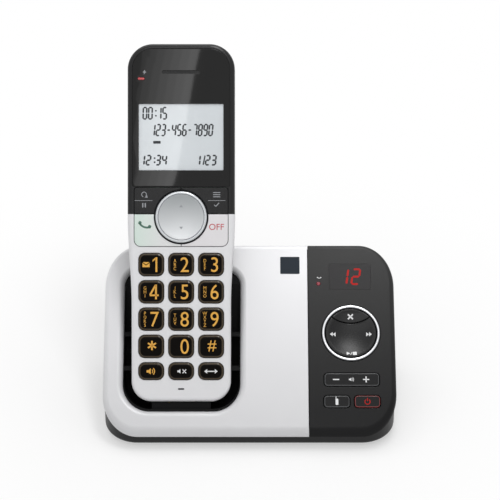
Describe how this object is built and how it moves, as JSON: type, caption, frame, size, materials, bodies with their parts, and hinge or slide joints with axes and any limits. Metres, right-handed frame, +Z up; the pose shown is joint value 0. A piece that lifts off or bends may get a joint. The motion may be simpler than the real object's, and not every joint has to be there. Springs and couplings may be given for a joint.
{
  "type": "answering machine",
  "caption": "Answering machine with a cordless handset standing in a sloped base that has a cradle pocket, a round play control and a message counter.",
  "frame": {"origin": "on the table, under the middle of the whole object's box with the handset in its cradle", "axes": "+Z up, +X to the right, the sloped face looks towards -Y"},
  "size_m": [0.14, 0.1248, 0.1568],
  "materials": {
    "silver_shell": "satin silver-grey painted plastic",
    "black_panel": "satin black moulded plastic",
    "black_shell": "fine-textured black moulded plastic",
    "cradle_black": "matt black moulded plastic",
    "bezel_black": "semi-gloss black plastic",
    "lens_black": "polished black lens",
    "panel_keys": "satin black keys",
    "play_disc": "polished black keys",
    "keypad_black": "polished dark key caps lit from behind",
    "bright_ring": "bright plated ring",
    "nav_silver": "satin silver key with a bright rim",
    "white_post": "white moulded pivot",
    "lcd": "pale liquid crystal display",
    "led_red": "red lamp",
    "contact_metal": "gold-coloured spring metal",
    "screw_steel": "plated steel screws",
    "membrane_grey": "grey silicone rubber",
    "board_green": "green circuit board",
    "speaker_black": "black speaker frame",
    "jack_black": "black moulded socket",
    "cell_wrap": "blue shrink wrap",
    "foot_rubber": "black rubber"
  },
  "bodies": {
    "base": {"base_bottom_shell": "black_shell", "base_top_cover": "silver_shell", "control_panel": "black_panel", "cradle_insert": "cradle_black", "cradle_contacts": "contact_metal", "ring_trim": "bright_ring", "counter_window": "lens_black", "led_display": "led_red", "in_use_lamp": "led_red", "base_key_membrane": "membrane_grey", "base_key_board": "board_green", "base_circuit_board": "board_green", "base_speaker": "speaker_black", "line_jack": "jack_black", "power_jack": "jack_black", "rubber_feet": "foot_rubber", "base_screws": "screw_steel"},
    "handset": {"handset_back_shell": "black_shell", "battery_pack": "cell_wrap", "handset_upper_bezel": "bezel_black", "handset_keypad_face": "silver_shell", "display_lens": "lens_black", "lcd_module": "lcd", "earpiece_speaker": "speaker_black", "charge_lamp": "led_red", "keypad_membrane": "membrane_grey", "handset_circuit_board": "board_green", "microphone": "speaker_black", "handsfree_speaker": "speaker_black", "handset_charge_contacts": "contact_metal", "handset_screws": "screw_steel"},
    "battery_cover": {"battery_cover": "black_shell"},
    "nav_key": {"nav_key": "nav_silver"},
    "redial_key": {"redial_key": "bezel_black"},
    "menu_key": {"menu_key": "bezel_black"},
    "talk_key": {"talk_key": "silver_shell"},
    "off_key": {"off_key": "silver_shell"},
    "key_1": {"key_1": "keypad_black"},
    "key_2": {"key_2": "keypad_black"},
    "key_3": {"key_3": "keypad_black"},
    "key_4": {"key_4": "keypad_black"},
    "key_5": {"key_5": "keypad_black"},
    "key_6": {"key_6": "keypad_black"},
    "key_7": {"key_7": "keypad_black"},
    "key_8": {"key_8": "keypad_black"},
    "key_9": {"key_9": "keypad_black"},
    "key_star": {"key_star": "keypad_black"},
    "key_0": {"key_0": "keypad_black"},
    "key_pound": {"key_pound": "keypad_black"},
    "speaker_key": {"speaker_key": "keypad_black"},
    "mute_key": {"mute_key": "keypad_black"},
    "intercom_key": {"intercom_key": "keypad_black"},
    "pad_pivot": {"pad_pivot": "white_post"},
    "play_pad": {"play_pad": "play_disc"},
    "delete_key": {"delete_key": "play_disc"},
    "volume_rocker": {"volume_rocker": "panel_keys"},
    "find_handset_key": {"find_handset_key": "panel_keys"},
    "answer_key": {"answer_key": "panel_keys"}
  },
  "joints": [
    {"name": "handset_lift", "type": "slide", "parent": "base", "child": "handset", "axis": [0, 0.5736, 0.8192], "range_m": [0, 0.08]},
    {"name": "battery_cover_slide", "type": "slide", "parent": "handset", "child": "battery_cover", "axis": [0, -0.5736, -0.8192], "range_m": [0, 0.008]},
    {"name": "nav_tilt", "type": "hinge", "parent": "handset", "child": "nav_key", "pos_m": [-0.0325, 0.00194, 0.08903], "axis": [1, 0, 0], "range_deg": [-2.5, 2.5], "stiffness_Nm_per_rad": 0.2},
    {"name": "redial_key_press", "type": "slide", "parent": "handset", "child": "redial_key", "axis": [0, 0.8192, -0.5736], "range_m": [0, 0.0006], "stiffness_N_per_m": 300},
    {"name": "menu_key_press", "type": "slide", "parent": "handset", "child": "menu_key", "axis": [0, 0.8192, -0.5736], "range_m": [0, 0.0006], "stiffness_N_per_m": 300},
    {"name": "talk_key_press", "type": "slide", "parent": "handset", "child": "talk_key", "axis": [0, 0.8192, -0.5736], "range_m": [0, 0.0006], "stiffness_N_per_m": 300},
    {"name": "off_key_press", "type": "slide", "parent": "handset", "child": "off_key", "axis": [0, 0.8192, -0.5736], "range_m": [0, 0.0006], "stiffness_N_per_m": 300},
    {"name": "key_1_press", "type": "slide", "parent": "handset", "child": "key_1", "axis": [0, 0.8192, -0.5736], "range_m": [0, 0.0006], "stiffness_N_per_m": 300},
    {"name": "key_2_press", "type": "slide", "parent": "handset", "child": "key_2", "axis": [0, 0.8192, -0.5736], "range_m": [0, 0.0006], "stiffness_N_per_m": 300},
    {"name": "key_3_press", "type": "slide", "parent": "handset", "child": "key_3", "axis": [0, 0.8192, -0.5736], "range_m": [0, 0.0006], "stiffness_N_per_m": 300},
    {"name": "key_4_press", "type": "slide", "parent": "handset", "child": "key_4", "axis": [0, 0.8192, -0.5736], "range_m": [0, 0.0006], "stiffness_N_per_m": 300},
    {"name": "key_5_press", "type": "slide", "parent": "handset", "child": "key_5", "axis": [0, 0.8192, -0.5736], "range_m": [0, 0.0006], "stiffness_N_per_m": 300},
    {"name": "key_6_press", "type": "slide", "parent": "handset", "child": "key_6", "axis": [0, 0.8192, -0.5736], "range_m": [0, 0.0006], "stiffness_N_per_m": 300},
    {"name": "key_7_press", "type": "slide", "parent": "handset", "child": "key_7", "axis": [0, 0.8192, -0.5736], "range_m": [0, 0.0006], "stiffness_N_per_m": 300},
    {"name": "key_8_press", "type": "slide", "parent": "handset", "child": "key_8", "axis": [0, 0.8192, -0.5736], "range_m": [0, 0.0006], "stiffness_N_per_m": 300},
    {"name": "key_9_press", "type": "slide", "parent": "handset", "child": "key_9", "axis": [0, 0.8192, -0.5736], "range_m": [0, 0.0006], "stiffness_N_per_m": 300},
    {"name": "key_star_press", "type": "slide", "parent": "handset", "child": "key_star", "axis": [0, 0.8192, -0.5736], "range_m": [0, 0.0006], "stiffness_N_per_m": 300},
    {"name": "key_0_press", "type": "slide", "parent": "handset", "child": "key_0", "axis": [0, 0.8192, -0.5736], "range_m": [0, 0.0006], "stiffness_N_per_m": 300},
    {"name": "key_pound_press", "type": "slide", "parent": "handset", "child": "key_pound", "axis": [0, 0.8192, -0.5736], "range_m": [0, 0.0006], "stiffness_N_per_m": 300},
    {"name": "speaker_key_press", "type": "slide", "parent": "handset", "child": "speaker_key", "axis": [0, 0.8192, -0.5736], "range_m": [0, 0.0006], "stiffness_N_per_m": 300},
    {"name": "mute_key_press", "type": "slide", "parent": "handset", "child": "mute_key", "axis": [0, 0.8192, -0.5736], "range_m": [0, 0.0006], "stiffness_N_per_m": 300},
    {"name": "intercom_key_press", "type": "slide", "parent": "handset", "child": "intercom_key", "axis": [0, 0.8192, -0.5736], "range_m": [0, 0.0006], "stiffness_N_per_m": 300},
    {"name": "play_tilt", "type": "hinge", "parent": "base", "child": "pad_pivot", "pos_m": [0.0487, -0.0203, 0.03532], "axis": [1, 0, 0], "range_deg": [0, 3], "stiffness_Nm_per_rad": 0.2},
    {"name": "skip_tilt", "type": "hinge", "parent": "pad_pivot", "child": "play_pad", "pos_m": [0.0487, -0.0203, 0.03532], "axis": [0, 0.8192, 0.5736], "range_deg": [-3, 3], "stiffness_Nm_per_rad": 0.2},
    {"name": "delete_press", "type": "slide", "parent": "base", "child": "delete_key", "axis": [0, 0.5736, -0.8192], "range_m": [0, 0.0006], "stiffness_N_per_m": 300},
    {"name": "volume_tilt", "type": "hinge", "parent": "base", "child": "volume_rocker", "pos_m": [0.0487, -0.04047, 0.02351], "axis": [0, 0.8192, 0.5736], "range_deg": [-2.5, 2.5], "stiffness_Nm_per_rad": 0.2},
    {"name": "find_press", "type": "slide", "parent": "base", "child": "find_handset_key", "axis": [0, 0.5736, -0.8192], "range_m": [0, 0.0006], "stiffness_N_per_m": 300},
    {"name": "answer_press", "type": "slide", "parent": "base", "child": "answer_key", "axis": [0, 0.5736, -0.8192], "range_m": [0, 0.0006], "stiffness_N_per_m": 300}
  ]
}
